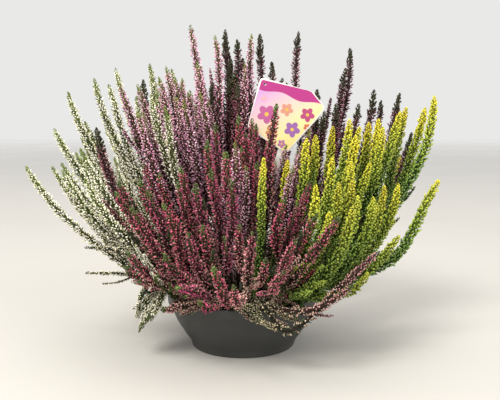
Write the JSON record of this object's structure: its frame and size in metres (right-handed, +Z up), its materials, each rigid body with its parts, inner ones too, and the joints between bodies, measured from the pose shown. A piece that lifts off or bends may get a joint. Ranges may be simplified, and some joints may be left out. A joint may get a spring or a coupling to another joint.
{
  "type": "potted heather",
  "caption": "Shallow round planting bowl of five mixed heathers in white, pink, purple, red and yellow-green, with a picture label on a stake.",
  "frame": {"origin": "middle of the bowl's flat foot, on the surface it stands on", "axes": "+Z up, +X to the right seen from the front, -Y towards the front, where the red heather hangs over the rim"},
  "size_m": [0.5162, 0.41, 0.42],
  "materials": {
    "bowl": "satin moulded plastic, dark grey",
    "soil": "loose peaty potting soil",
    "label": "printed glossy plastic card on a white stake",
    "white_heather": "cream white buds and mid-green leaves",
    "pink_heather": "lilac-pink buds and green leaves",
    "purple_heather": "dark purple buds and dark green leaves",
    "red_heather": "crimson buds and green leaves",
    "yellow_heather": "yellow tips turning to lime and mid-green leaves",
    "stems": "thin brown woody stems"
  },
  "bodies": {
    "root": {"bowl": "bowl", "soil": "soil", "label": "label", "white_spray_1": "white_heather", "white_spray_2": "white_heather", "white_spray_3": "white_heather", "white_spray_4": "white_heather", "white_spray_5": "white_heather", "white_spray_6": "white_heather", "white_spray_7": "white_heather", "white_spray_8": "white_heather", "white_spray_9": "white_heather", "white_spray_10": "white_heather", "pink_spray_1": "pink_heather", "pink_spray_2": "pink_heather", "pink_spray_3": "pink_heather", "pink_spray_4": "pink_heather", "pink_spray_5": "pink_heather", "pink_spray_6": "pink_heather", "pink_spray_7": "pink_heather", "purple_spray_1": "purple_heather", "purple_spray_2": "purple_heather", "purple_spray_3": "purple_heather", "purple_spray_4": "purple_heather", "purple_spray_5": "purple_heather", "purple_spray_6": "purple_heather", "purple_spray_7": "purple_heather", "purple_spray_8": "purple_heather", "purple_spray_9": "purple_heather", "purple_spray_10": "purple_heather", "purple_spray_11": "purple_heather", "purple_spray_12": "purple_heather", "red_spray_1": "red_heather", "red_spray_2": "red_heather", "red_spray_3": "red_heather", "red_spray_4": "red_heather", "red_spray_5": "red_heather", "red_spray_6": "red_heather", "red_spray_7": "red_heather", "red_spray_8": "red_heather", "red_spray_9": "red_heather", "red_spray_10": "red_heather", "red_spray_11": "red_heather", "red_spray_12": "red_heather", "red_spray_13": "red_heather", "red_spray_14": "red_heather", "red_spray_15": "red_heather", "yellow_spray_1": "yellow_heather", "yellow_spray_2": "yellow_heather", "yellow_spray_3": "yellow_heather", "yellow_spray_4": "yellow_heather", "yellow_spray_5": "yellow_heather", "yellow_spray_6": "yellow_heather", "yellow_spray_7": "yellow_heather", "yellow_spray_8": "yellow_heather", "yellow_spray_9": "yellow_heather", "yellow_spray_10": "yellow_heather", "yellow_spray_11": "yellow_heather", "yellow_spray_12": "yellow_heather"}
  },
  "joints": []
}
